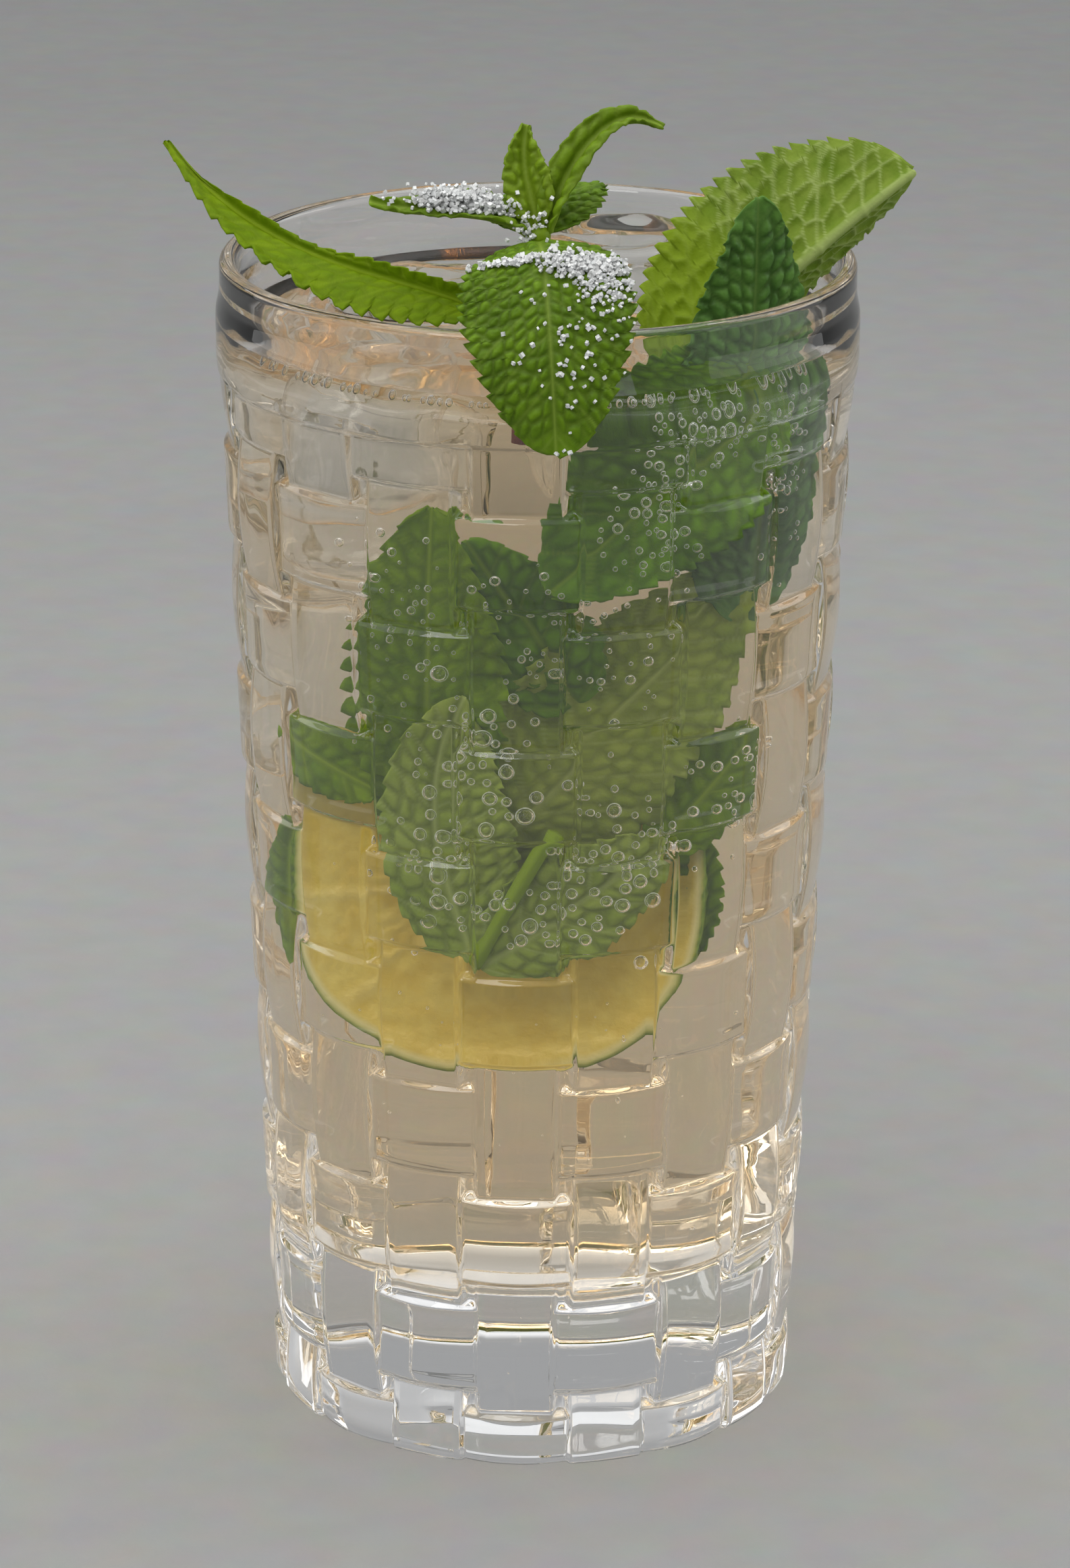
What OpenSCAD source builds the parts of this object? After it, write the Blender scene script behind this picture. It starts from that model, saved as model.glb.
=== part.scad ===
// Mojito in a tall pressed glass with a woven relief, with mint and ice.
// Millimetres. The origin is at the middle of the glass's base, +Z is up,
// and the front of the drink looks towards -Y.

/* [Glass] */
// Height of the glass
glass_h = 150; // [125:1:180]
// Outer diameter of the lip
rim_d = 79.4; // [70:0.2:92]
// Outer diameter across the strands at the foot
base_d = 67.6; // [60:0.2:69]
// Thickness of the lip
lip_wall = 2.1; // [1.6:0.1:2.4]
// Thickness of the solid glass foot
foot_h = 21; // [12:0.5:30]
// Inner diameter just above the foot
well_d = 60.4; // [50:0.2:61]
// Rounding of the corner between foot and wall, inside
well_round = 6; // [2:0.5:9]
// Bevel round the edge that stands on the table
foot_bevel = 0.8; // [0.4:0.1:1.5]
// Height of the plain collar and lip above the weave
collar_h = 13.6; // [11:0.2:20]
// How far the collar stands out from the lip
collar_swell = 0.5; // [0.2:0.1:1]

/* [Weave] */
// Number of upright strands, an even number
strands = 18; // [14:2:22]
// Distance from one level strand to the next
row_pitch = 15; // [10:0.5:24]
// Height of the lowest level strand's middle
first_row_z = 1; // [0:0.5:4]
// Height left between one level strand and the next
level_gap = 3; // [1.8:0.2:6]
// Share of its column that an upright strand fills
upright_share = 0.87; // [0.6:0.01:0.9]
// How far the strands stand out from the wall
strand_rise = 2; // [1:0.1:2.2]
// Width of the slope at a strand's edge
edge_slope = 1.2; // [0.6:0.1:1.4]
// Turn of the first column from the front
weave_turn = -3.5; // [-10:0.5:10]

/* [Drink] */
// Depth of the drink's surface below the lip
drink_drop = 9.5; // [7:0.5:30]

/* [Ice] */
// Diameter of a piece of ice
ice_d = 22; // [16:1:24]
// Height of a piece of ice
ice_h = 27; // [18:1:32]
// Diameter of the dish in its top
ice_dish_d = 14; // [8:1:16]
// Depth of the dish
ice_dish_h = 1.6; // [0.5:0.1:2.4]
// Rounding of its edges
ice_round = 3; // [1:0.5:3.5]
// Height of the right-hand ice above the drink
ice_right_proud = 7; // [3:0.5:8]
// Height of the left-hand ice above the drink
ice_left_proud = 3; // [2.5:0.5:5]

/* [Mint] */
// Thickness of a leaf, with its wrinkles
leaf_t = 0.8; // [0.6:0.1:1.2]
// Diameter of the sprig's stem
stem_d = 3; // [2:0.1:3.5]
// Width of the leaf that hangs over the front of the lip
front_leaf_w = 22; // [16:0.5:24]
// Width of the broad leaf on the right
broad_leaf_w = 31; // [24:0.5:33]
// Width of the dark leaf in front of it
dark_leaf_w = 20; // [14:0.5:22]
// Width of the folded leaf on the left
side_leaf_w = 17; // [12:0.5:20]

/* [Hidden] */

rim_r = rim_d / 2;
base_r = base_d / 2;
well_r = well_d / 2;
bore_r = rim_r - lip_wall;
drink_z = glass_h - drink_drop;
weave_top = glass_h - collar_h;
collar_r = rim_r + collar_swell;
level_h = row_pitch - level_gap;
// The strands reach out to the collar, less a small step
crest_step = 0.3;
crest_top_r = collar_r - crest_step;
column = 360 / strands;
rows = ceil((weave_top - first_row_z + level_h / 2) / row_pitch);
round_fn = 128;
cut_over = 5;

glass_color = [0.86, 0.90, 0.90, 0.45];
drink_color = [0.76, 0.69, 0.58, 0.8];
ice_color = [0.80, 0.80, 0.76];
leaf_color = [0.31, 0.45, 0.14];
pale_leaf_color = [0.49, 0.60, 0.27];
dark_leaf_color = [0.22, 0.37, 0.17];

// ---- the glass ----

// Radius over the crests of the strands, at height z
function crest_r(z) = base_r + (crest_top_r - base_r) * z / weave_top;

// Inner radius of the glass, at height z
function well_r_at(z) = well_r + (bore_r - well_r) * (z - foot_h) / (glass_h - foot_h);

// Height of a strand's arch: 1 at its crest, 0 where it dives under the next
function arch(x) = cos(90 * min(1, abs(x)));

// Offset of x from the nearest multiple of step
function off(x, step) = x - step * round(x / step);

// The upright strand of a column is over the level rows whose number has the
// other parity, so each crest repeats every second row
function upright_rise(j, z) =
    arch(off(z - first_row_z - row_pitch * ((j + 1) % 2), 2 * row_pitch) / row_pitch);
function level_rise(i, turn) =
    arch(off(turn - column * (i % 2), 2 * column) / column);

// Radius of the woven wall at the angle turn, counted from column 0, and height z
function weave_r(turn, z) = let(
    j = round(turn / column),
    i = round((z - first_row_z) / row_pitch),
    over_upright = abs(turn - j * column) < column * upright_share / 2,
    over_level = abs(z - first_row_z - i * row_pitch) < level_h / 2,
    up = over_upright ? upright_rise(j, z) : 0,
    level = over_level ? level_rise(i, turn) : 0)
    crest_r(z) - strand_rise * (1 - max(up, level));

// Angles of the grid: both sides of each upright strand's sloping edges
slope_turn = edge_slope / rim_r * 90 / PI;
edge_turn = column * upright_share / 2;
turns = [for (j = [0 : strands - 1]) for (s = [-1, 1]) for (e = [-s, s])
    j * column + s * edge_turn + e * slope_turn];

// Heights of the grid: both sides of each level strand's sloping edges
row_edges = [for (i = [0 : rows - 1]) for (s = [-1, 1]) for (e = [-s, s])
    first_row_z + i * row_pitch + s * level_h / 2 + e * edge_slope / 2];
grid_gap = 0.3;
levels = concat([0, foot_bevel],
    [for (z = row_edges) if (z > foot_bevel + grid_gap && z < weave_top - grid_gap) z],
    [weave_top]);

function ring_point(turn, r, z) =
    [r * sin(turn + weave_turn), -r * cos(turn + weave_turn), z];

// Faces between rings of n points each, with a flat cap at both ends
function tube_faces(rings, n) = concat(
    [[for (k = [0 : n - 1]) k]],
    [for (i = [0 : rings - 2]) for (k = [0 : n - 1])
        let(a = i * n + k, b = i * n + (k + 1) % n)
        for (f = [[a, a + n, b], [b, a + n, b + n]]) f],
    [[for (k = [n - 1 : -1 : 0]) (rings - 1) * n + k]]);

module woven_wall() {
    points = [for (z = levels) for (t = turns)
        ring_point(t, weave_r(t, z) - (z == 0 ? foot_bevel : 0), z)];
    polyhedron(points, tube_faces(len(levels), len(turns)));
}

// Collar and lip: a soft swell that ends in a rounded lip
lip_h = 6;
ledge_h = 1;
ledge_in = 0.1;
collar_ease = 1.5;
lip_ease = 2;
lip_in = 0.05;

module collar() {
    lip_r = lip_wall / 2;
    swell_z = glass_h - lip_h;
    rotate_extrude($fn = round_fn) {
        polygon(concat(
            [[0, weave_top - ledge_h], [crest_top_r - strand_rise, weave_top - ledge_h],
             [collar_r - ledge_in, weave_top], [collar_r, weave_top + collar_ease],
             [collar_r, swell_z], [rim_r + lip_in, swell_z + lip_ease]],
            [for (a = [0 : 30 : 90])
                [rim_r - lip_r + lip_r * cos(a), glass_h - lip_r + lip_r * sin(a)]],
            [[0, glass_h]]));
    }
}

// Space inside the glass, from the foot up to the height top
corner_step = 15;
module well(top) {
    corner = [for (a = [-90 : corner_step : 0])
        [well_r - well_round + well_round * cos(a),
         foot_h + well_round + well_round * sin(a)]];
    rotate_extrude($fn = round_fn) {
        polygon(concat([[0, foot_h]], corner, [[well_r_at(top), top], [0, top]]));
    }
}

module glass() {
    lip_r = lip_wall / 2;
    color(glass_color) difference() {
        union() {
            woven_wall();
            collar();
        }
        well(glass_h + cut_over);
        // inner rounding of the lip
        rotate_extrude($fn = round_fn) {
            polygon(concat(
                [[0, glass_h - lip_r]],
                [for (a = [180 : -30 : 90])
                    [rim_r - lip_r + lip_r * cos(a), glass_h - lip_r + lip_r * sin(a)]],
                [[rim_r - lip_r, glass_h + 1], [0, glass_h + 1]]));
        }
    }
}

// ---- mint ----

function lerp(a, b, t) = a + (b - a) * t;
function unit(v) = v / norm(v);
function bezier(p, t) = pow(1 - t, 3) * p[0] + 3 * t * pow(1 - t, 2) * p[1]
    + 3 * t * t * (1 - t) * p[2] + pow(t, 3) * p[3];
function bezier_way(p, t) = unit(pow(1 - t, 2) * (p[1] - p[0])
    + 2 * t * (1 - t) * (p[2] - p[1]) + t * t * (p[3] - p[2]));

// A place by its angle from the front, its distance out from the lip's outer
// radius and its height above the lip
function at_rim(turn, out, up) =
    [(rim_r + out) * sin(turn), -(rim_r + out) * cos(turn), glass_h + up];

// The same, with the height measured from the drink's surface
function at_drink(turn, out, up) = at_rim(turn, out, up - drink_drop);

// Half width of a leaf along its rib. form holds the place of the widest part, as
// a power, and the fullness towards both ends
stalk_w = 1.2;
slim_form = [0.75, 0.8];
full_form = [0.9, 0.55];
blunt_form = [1.05, 0.45];
function leaf_half(w, form, t) =
    max(stalk_w / 2, w / 2 * pow(sin(180 * pow(t, form[0])), form[1]));

// One point of a leaf's middle surface and its normal. path is the rib,
// w the widths of both halves, up the facing at base and tip, fold the angles
// by which both halves rise
function leaf_frame(path, w, up, fold, form, t, s) = let(
    way = bezier_way(path, t),
    raw = lerp(up[0], up[1], t),
    n = unit(raw - way * (way * raw)),
    side = cross(way, n),
    k = s < 0 ? 0 : 1,
    reach = leaf_half(w[k], form, t) * abs(s),
    bend = fold[k])
    [bezier(path, t) + side * (s < 0 ? -1 : 1) * reach * cos(bend)
        + n * reach * sin(bend), n];

// A leaf as a thin closed solid on a grid of long by wide cells
module leaf(path, w, up, fold, form, long = 12, wide = 6) {
    n = wide + 1;
    skin = [for (side = [1, -1]) for (i = [0 : long]) for (k = [0 : wide]) let(
        s = 2 * k / wide - 1,
        f = leaf_frame(path, w, up, fold, form, i / long, s),
        half_t = leaf_t / 2 * (abs(s) == 1 ? 0.5 : 1))
        f[0] + f[1] * half_t * side];
    low = (long + 1) * n;
    top_faces = [for (i = [0 : long - 1]) for (k = [0 : wide - 1]) let(a = i * n + k)
        for (f = [[a, a + n, a + 1], [a + 1, a + n, a + n + 1]]) f];
    low_faces = [for (f = top_faces) [f[2] + low, f[1] + low, f[0] + low]];
    rim = concat([for (k = [0 : wide]) k], [for (i = [1 : long]) i * n + wide],
        [for (k = [wide - 1 : -1 : 0]) long * n + k], [for (i = [long - 1 : -1 : 1]) i * n]);
    count = len(rim);
    rim_faces = [for (k = [0 : count - 1]) let(a = rim[k], b = rim[(k + 1) % count])
        for (f = [[a, b, a + low], [b, b + low, a + low]]) f];
    polyhedron(skin, concat(top_faces, low_faces, rim_faces));
}

// The leaves spring from a small knot at the top of the stem
knot = at_rim(0, -9, 9.8);
knot_d = 3;
knot_in = 0.8;

// Stem of the sprig: a tube of eight sides that thins towards the knot
stem_taper = 0.6;
module stem() {
    path = [at_drink(-5, -5.4, -5.5), at_rim(-4, -5.6, -4), at_rim(0, -7.5, 4), knot];
    rings = 7;
    sides = 8;
    points = [for (i = [0 : rings - 1]) for (k = [0 : sides - 1]) let(
        t = i / (rings - 1),
        a = k * 360 / sides,
        way = bezier_way(path, t),
        across = unit(cross(way, [0, 1, 0.01])),
        r = stem_d / 2 * lerp(1, stem_taper, t))
        bezier(path, t) + r * (across * cos(a) + cross(way, across) * sin(a))];
    polyhedron(points, tube_faces(rings, sides));
}

module mint_sprig() {
    color(leaf_color) union() {
        stem();
        translate(knot) sphere(d = knot_d, $fn = 48);
        // front leaf, over the lip
        leaf([knot + [0, -knot_in, -0.3], at_rim(1, -2.2, 11), at_rim(2, 4.6, 2),
            at_rim(3, 3.4, -14)],
            [front_leaf_w, front_leaf_w], [[0, -0.5, 1], [0, -1, 0.3]], [-10, -10], full_form);
        // its partner, towards the back
        leaf([knot + [0, knot_in, 0], at_rim(0, -13, 13.5), at_rim(-2, -21, 14),
            at_rim(-4, -31, 7)],
            [front_leaf_w, front_leaf_w], [[0, 0, 1], [0, 0.3, 1]], [-12, -4], full_form, 8, 4);
        // narrow leaf to the left
        leaf([knot + [-knot_in, 0, 0.3], at_rim(-8, -8.5, 14.2), at_rim(-24, -7, 12),
            at_rim(-32, -2, 14.2)],
            [6, 6], [[0, -0.3, 1], [0, -0.6, 1]], [25, 25], slim_form, 8, 4);
        // curled leaf to the right
        leaf([knot + [knot_in, 0, 0.3], at_rim(4, -9.5, 16), at_rim(15, -10.5, 27.5),
            at_rim(28, -8, 22.5)],
            [5.5, 5.5], [[-0.6, -1, 0.4], [0.2, -0.6, 1]], [35, 35], slim_form, 8, 4);
        // young leaf at the top
        leaf([knot + [0, 0, knot_in], at_rim(-2, -10, 15), at_rim(-5, -11, 18.5),
            at_rim(-3, -12.5, 22.5)],
            [6.5, 6.5], [[0, -1, 0.1], [0, -1, 0.2]], [20, 20], slim_form, 6, 4);
    }
}

// Folded leaf that lies along the lip on the left
module leaf_left_shape() {
    leaf([at_rim(-10, -10, -0.6), at_rim(-27, -8.8, 4.6), at_rim(-52, 1.2, 2.7),
        at_rim(-77.5, 6.7, 16.3)],
        [side_leaf_w, side_leaf_w * 0.2], [[0.2, -0.5, 1], [0.7, -0.7, 0.6]], [8, 50],
        slim_form);
}
module leaf_left() {
    color(leaf_color) leaf_left_shape();
}

// Broad leaf on the right, pale side to the front, its base in the drink
module leaf_right_shape() {
    leaf([at_drink(40, -13.5, -3), at_drink(57, -12, 4), at_rim(74, -4.3, 4),
        at_rim(85, 6.7, 11.7)],
        [broad_leaf_w, broad_leaf_w * 0.7], [[0, -0.9, 0.4], [0, -0.9, 0.4]], [-5, -78],
        blunt_form);
}
module leaf_right() {
    color(pale_leaf_color) leaf_right_shape();
}

// Dark wrinkled leaf in front of it, upright along the wall
module leaf_dark_shape() {
    leaf([at_drink(50, -9.6, -32), at_drink(52, -8.1, -16), at_rim(54, -6.2, -5),
        at_rim(53, -6.4, 12)],
        [dark_leaf_w, dark_leaf_w], [[0.5, -0.85, 0.1], [0.5, -0.85, 0.2]], [-8, -8],
        full_form);
}
module leaf_dark() {
    color(dark_leaf_color) leaf_dark_shape();
}

// ---- ice ----

// A round piece of ice with soft edges and a dished top, its top at z = 0
module ice_piece() {
    r = ice_d / 2;
    dish_r = ice_dish_d / 2;
    lip = ice_round / 2;
    rotate_extrude($fn = round_fn) {
        polygon(concat(
            [[0, -ice_h]],
            [for (a = [-90 : 30 : 0])
                [r - ice_round + ice_round * cos(a), -ice_h + ice_round + ice_round * sin(a)]],
            [for (a = [0 : 30 : 90]) [r - lip + lip * cos(a), -lip + lip * sin(a)]],
            [[dish_r, 0], [dish_r * 0.7, -ice_dish_h * 0.7], [0, -ice_dish_h]]));
    }
}

ice_right_turn = 154;
// Gap between the right-hand ice and the wall, how much further in the left one
// floats, and the gap between the two
ice_wall_gap = 1;
ice_left_in = 4;
ice_gap = 5.9;
ice_reach = ice_d / 2 + ice_wall_gap;
ice_right_out = well_r_at(drink_z - ice_h + ice_right_proud) - ice_reach;
ice_left_out = well_r_at(drink_z - ice_h + ice_left_proud) - ice_reach - ice_left_in;
ice_left_turn = ice_right_turn + acos(
    (pow(ice_right_out, 2) + pow(ice_left_out, 2) - pow(ice_d + ice_gap, 2))
    / (2 * ice_right_out * ice_left_out));

module place_ice(turn, out, proud) {
    translate([out * sin(turn), -out * cos(turn), drink_z + proud]) ice_piece();
}
module ice_right_shape() {
    place_ice(ice_right_turn, ice_right_out, ice_right_proud);
}
module ice_left_shape() {
    place_ice(ice_left_turn, ice_left_out, ice_left_proud);
}
module ice_right() {
    color(ice_color) ice_right_shape();
}
module ice_left() {
    color(ice_color) ice_left_shape();
}

// ---- the drink, cut round what stands in it ----

module drink() {
    color(drink_color) difference() {
        well(drink_z);
        ice_right_shape();
        ice_left_shape();
        stem();
        leaf_right_shape();
        leaf_dark_shape();
    }
}

glass();
drink();
mint_sprig();
leaf_left();
leaf_right();
leaf_dark();
ice_right();
ice_left();
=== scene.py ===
"""A mojito in a tall pressed glass with a woven relief, with mint, lime and ice, built round
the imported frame. Shapes are worked out in millimetres and turned into metres by make_mesh."""

import math

import bpy
import numpy as np
from mathutils import Matrix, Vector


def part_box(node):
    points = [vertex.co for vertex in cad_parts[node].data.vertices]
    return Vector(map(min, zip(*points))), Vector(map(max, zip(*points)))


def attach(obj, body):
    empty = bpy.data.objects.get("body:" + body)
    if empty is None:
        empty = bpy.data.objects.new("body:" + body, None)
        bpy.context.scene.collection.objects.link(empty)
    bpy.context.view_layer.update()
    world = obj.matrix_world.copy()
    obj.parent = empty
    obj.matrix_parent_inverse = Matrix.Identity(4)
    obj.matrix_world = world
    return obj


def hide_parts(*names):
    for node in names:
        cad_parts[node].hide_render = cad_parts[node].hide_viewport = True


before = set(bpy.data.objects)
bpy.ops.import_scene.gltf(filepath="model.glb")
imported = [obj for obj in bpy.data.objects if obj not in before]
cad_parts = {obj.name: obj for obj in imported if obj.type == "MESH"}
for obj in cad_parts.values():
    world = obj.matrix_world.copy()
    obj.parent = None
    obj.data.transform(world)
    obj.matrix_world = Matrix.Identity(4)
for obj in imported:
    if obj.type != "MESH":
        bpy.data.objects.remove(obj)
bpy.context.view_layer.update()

MM = 0.001


def corners(node):
    """Lowest and highest corner of a CAD node, in millimetres."""
    return [np.array(corner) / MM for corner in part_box(node)]


# ---- sizes, from the frame where it has them ----

glass_low, glass_high = corners("glass")
GLASS_H = glass_high[2]
COLLAR_R = (glass_high[0] - glass_low[0]) / 2
COLLAR_SWELL = 0.5
RIM_R = COLLAR_R - COLLAR_SWELL
LIP_WALL = 2.1
BORE_R = RIM_R - LIP_WALL
WEAVE_TOP = GLASS_H - 13.6
CREST_BASE_R = 33.8
CREST_TOP_R = COLLAR_R - 0.3
FOOT_H = 21.0
FOOT_BEVEL = 0.8
PUNT_R = 30.0
PUNT_H = 1.6
WELL_R = 30.2
WELL_ROUND = 6.0
DRINK_Z = corners("drink")[1][2]

STRANDS = 18
COLUMN = 360 / STRANDS
ROWS = 10
ROW_PITCH = 15.0
FIRST_ROW = 1.0
LEVEL_H = 12.0
UPRIGHT_SHARE = 0.87
RISE = 2.0
EDGE = 1.3
CROSSING_SOFT = 0.08
WEAVE_TURN = -3.5

MENISCUS_H = 1.3
MENISCUS_W = 1.1
ICE_MENISCUS_H = 0.7


# ---- small tools ----

def smooth(x):
    x = np.clip(x, 0, 1)
    return x * x * (3 - 2 * x)


def mix(a, b, t):
    return a + (b - a) * t


def unit(v):
    return v / np.maximum(np.linalg.norm(v, axis=-1, keepdims=True), 1e-9)


def ring_point(turn, r, z):
    """Points by their angle from the front in degrees, radius and height."""
    a = np.radians(turn)
    return np.stack(np.broadcast_arrays(r * np.sin(a), -r * np.cos(a), z), axis=-1)


def at_rim(turn, out, up):
    """A place by its angle from the front, its distance out from the lip and up from it."""
    return ring_point(turn, RIM_R + out, GLASS_H + up)


def at_drink(turn, out, up):
    return ring_point(turn, RIM_R + out, DRINK_Z + up)


def wall_r(z):
    """Inner radius of the glass."""
    foot = FOOT_H + WELL_ROUND
    return WELL_R + (BORE_R - WELL_R) * (z - foot) / (GLASS_H - foot)


def in_drink(turn, inside, below):
    """A place by its angle from the front, its distance in from the wall and below the surface."""
    z = DRINK_Z - below
    return ring_point(turn, wall_r(z) - inside, z)


def jittered_cells(u, v, seed):
    """How much nearer the nearest of a jittered unit grid of points is than the next one."""
    jitter = np.random.default_rng(seed).random((64, 64, 2)) * 0.7 + 0.15
    u0, v0 = np.floor(u).astype(int), np.floor(v).astype(int)
    near = []
    for du in (-1, 0, 1):
        for dv in (-1, 0, 1):
            j = jitter[(u0 + du) % 64, (v0 + dv) % 64]
            near.append(np.hypot(u0 + du + j[..., 0] - u, v0 + dv + j[..., 1] - v))
    near = np.sort(np.stack(near), axis=0)
    return near[1] - near[0]


def waves(x, y, z, seed, size):
    """A soft wandering value between about -1 and 1 that changes over the given size."""
    rng = np.random.default_rng(seed)
    total = 0
    for k in range(5):
        way = unit(rng.normal(size=3)) * 2 * math.pi / size * (0.6 + 0.3 * k)
        total = total + np.sin(way[0] * x + way[1] * y + way[2] * z + rng.random() * 6) / 2.2
    return total


def make_mesh(name, points, faces, attributes=(), smoothed=True):
    """A mesh object from points in millimetres."""
    mesh = bpy.data.meshes.new(name)
    mesh.from_pydata((np.asarray(points) * MM).tolist(), [], [tuple(f) for f in faces])
    for key, values in dict(attributes).items():
        layer = mesh.attributes.new(key, "FLOAT", "POINT")
        layer.data.foreach_set("value", np.asarray(values, dtype=np.float32).ravel())
    mesh.polygons.foreach_set("use_smooth", [smoothed] * len(mesh.polygons))
    mesh.update()
    piece = bpy.data.objects.new(name, mesh)
    bpy.context.scene.collection.objects.link(piece)
    return piece


def grid_faces(rows, cols, start=0, wrap=False):
    """Quads over a grid of points, rows by cols, that may close round its columns."""
    r = np.arange(rows - 1)[:, None]
    c = np.arange(cols if wrap else cols - 1)[None, :]
    a = start + r * cols + c
    b = start + r * cols + (c + 1) % cols
    return np.stack([a, b, b + cols, a + cols], axis=-1).reshape(-1, 4)


def lathe(rings):
    """Points and faces of a closed solid from rings of points, with a middle point at each end."""
    count, around = rings.shape[:2]
    points = np.concatenate([rings.reshape(-1, 3), [rings[0].mean(0)], [rings[-1].mean(0)]])
    k = np.arange(around)
    after = (k + 1) % around
    last = (count - 1) * around
    first_cap = np.stack([np.full(around, count * around), after, k], axis=-1)
    last_cap = np.stack([np.full(around, count * around + 1), last + k, last + after], axis=-1)
    faces = [list(f) for part in (grid_faces(count, around, wrap=True), first_cap, last_cap)
             for f in part.tolist()]
    return points, faces


def join_parts(parts):
    """One set of points, faces and attributes out of several."""
    points, faces, values, start = [], [], {}, 0
    for part_points, part_faces, part_values in parts:
        points.append(part_points)
        faces += [[i + start for i in f] for f in part_faces]
        for key, value in part_values.items():
            values.setdefault(key, []).append(value)
        start += len(part_points)
    return np.concatenate(points), faces, {k: np.concatenate(v) for k, v in values.items()}


# ---- materials ----

class Look:
    """A material's node tree, with short calls to add and join its nodes."""

    def __init__(self, name):
        self.material = bpy.data.materials.new(name)
        self.material.use_nodes = True
        self.tree = self.material.node_tree
        self.tree.nodes.clear()
        self.out = self.add("OutputMaterial")

    def add(self, kind, settings=(), **inputs):
        node = self.tree.nodes.new("ShaderNode" + kind)
        for key, value in dict(settings).items():
            setattr(node, key, value)
        for key, value in inputs.items():
            self.put(node.inputs[key.replace("_", " ")], value)
        return node

    def put(self, socket, value):
        if isinstance(value, bpy.types.NodeSocket):
            self.tree.links.new(value, socket)
        else:
            socket.default_value = value

    def colours(self, factor, stops):
        """A colour ramp: stops are (place, colour) pairs."""
        ramp = self.add("ValToRGB")
        elements = ramp.color_ramp.elements
        while len(elements) < len(stops):
            elements.new(0.5)
        for element, (place, colour) in zip(elements, stops):
            element.position = place
            element.color = (*colour, 1)
        self.put(ramp.inputs["Fac"], factor)
        return ramp.outputs["Color"]

    def noise(self, scale, detail=2.0, roughness=0.5):
        """Noise in object space; scale counts features along a metre."""
        place = self.add("TexCoord").outputs["Object"]
        node = self.add("TexNoise", Vector=place, Scale=scale, Detail=detail, Roughness=roughness)
        return node.outputs["Fac"]

    def attribute(self, name):
        return self.add("Attribute", {"attribute_name": name}).outputs["Fac"]

    def math(self, operation, a, b):
        node = self.add("Math", {"operation": operation})
        self.put(node.inputs[0], a)
        self.put(node.inputs[1], b)
        return node.outputs[0]

    def blend(self, factor, a, b, kind="MIX"):
        node = self.add("Mix", {"data_type": "RGBA", "blend_type": kind})
        self.put(node.inputs[0], factor)
        self.put(node.inputs[6], a)
        self.put(node.inputs[7], b)
        return node.outputs[2]

    def bump(self, height, distance, strength=1.0):
        node = self.add("Bump", Height=height, Distance=distance, Strength=strength)
        return node.outputs["Normal"]

    def surface(self, shader):
        self.put(self.out.inputs["Surface"], shader)

    def lets_light_in(self, shader, colour):
        """Light from lamps and off what stands behind reaches what is inside, unbent."""
        path = self.add("LightPath").outputs
        clear = self.add("BsdfTransparent", Color=(*colour, 1)).outputs[0]
        for ray in ("Is Shadow Ray", "Is Diffuse Ray"):
            node = self.add("MixShader", Fac=path[ray])
            self.put(node.inputs[1], shader)
            self.put(node.inputs[2], clear)
            shader = node.outputs[0]
        self.surface(shader)


def colour_of(red, green, blue):
    """A linear colour from sRGB values of 0 to 255."""
    return tuple(c / 12.92 if c <= 0.04045 else ((c + 0.055) / 1.055) ** 2.4
                 for c in (red / 255, green / 255, blue / 255))


def above_drink(look):
    """1 on what stands out of the drink, and 0 on what is wet."""
    place = look.add("SeparateXYZ", Vector=look.add("TexCoord").outputs["Object"])
    return look.math("GREATER_THAN", place.outputs["Z"], (DRINK_Z - 0.4) * MM)


def clear_look(name, ior, roughness, wave, wave_scale, let_in, dry):
    """Glass, ice or water: clear, with a slight waviness and a fine wear in its gloss. dry adds
    the nodes that are 1 where the surface is in air, the only place where it mirrors."""
    look = Look(name)
    gloss = look.add("MapRange", Value=look.noise(900, 0), To_Min=roughness,
                     To_Max=roughness * 2.5)
    shader = look.add("BsdfPrincipled", Base_Color=(1, 1, 1, 1), IOR=ior,
                      Transmission_Weight=1.0, Roughness=gloss.outputs["Result"],
                      Normal=look.bump(look.noise(wave_scale, 1), wave))
    look.put(shader.inputs["Specular IOR Level"], look.math("MULTIPLY", dry(look), 0.5))
    look.lets_light_in(shader.outputs[0], let_in)
    return look


def drink_look():
    """Clear, with a peach tint that deepens with the way through it."""
    look = clear_look("drink", 1.335, 0.002, 0.00002, 140, (0.98, 0.98, 0.98), above_drink)
    look.put(look.out.inputs["Volume"],
             look.add("VolumeAbsorption", Color=(0.96, 0.625, 0.02, 1), Density=10.8).outputs[0])
    return look


def leaf_look(name, face, deep, vein, gloss, glow, through_share=0.3, shine=0.22):
    """A mint leaf: quilted, with painted shade in its hollows, with pale veins, and light coming
    through.
    """
    look = Look(name)
    mottled = look.colours(look.noise(260, 4), [(0.35, deep), (0.62, face)])
    # Painted shade: the sunken hollows between the quilted cells are blended towards half the deep
    # green.
    quilted = look.blend(look.math("MULTIPLY", look.attribute("hollow"), 0.6), mottled,
                         (*[c * 0.5 for c in deep], 1))
    veined = look.blend(look.attribute("vein"), quilted, (*vein, 1))
    toned = look.blend(look.attribute("young"), veined, (*colour_of(140, 164, 30), 1))
    cut = look.blend(look.attribute("cut"), toned, (*colour_of(118, 54, 36), 1))
    normal = look.bump(look.noise(2600, 4, 0.6), 0.00012, 0.6)
    blade = look.add("BsdfPrincipled", Base_Color=cut, Roughness=gloss, Normal=normal,
                     Specular_IOR_Level=shine)
    through = look.add("BsdfTranslucent", Normal=normal,
                       Color=look.blend(0.6, cut, (*glow, 1), "ADD"))
    both = look.add("MixShader", Fac=through_share)
    look.put(both.inputs[1], blade.outputs[0])
    look.put(both.inputs[2], through.outputs[0])
    look.surface(both.outputs[0])
    return look


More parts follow.
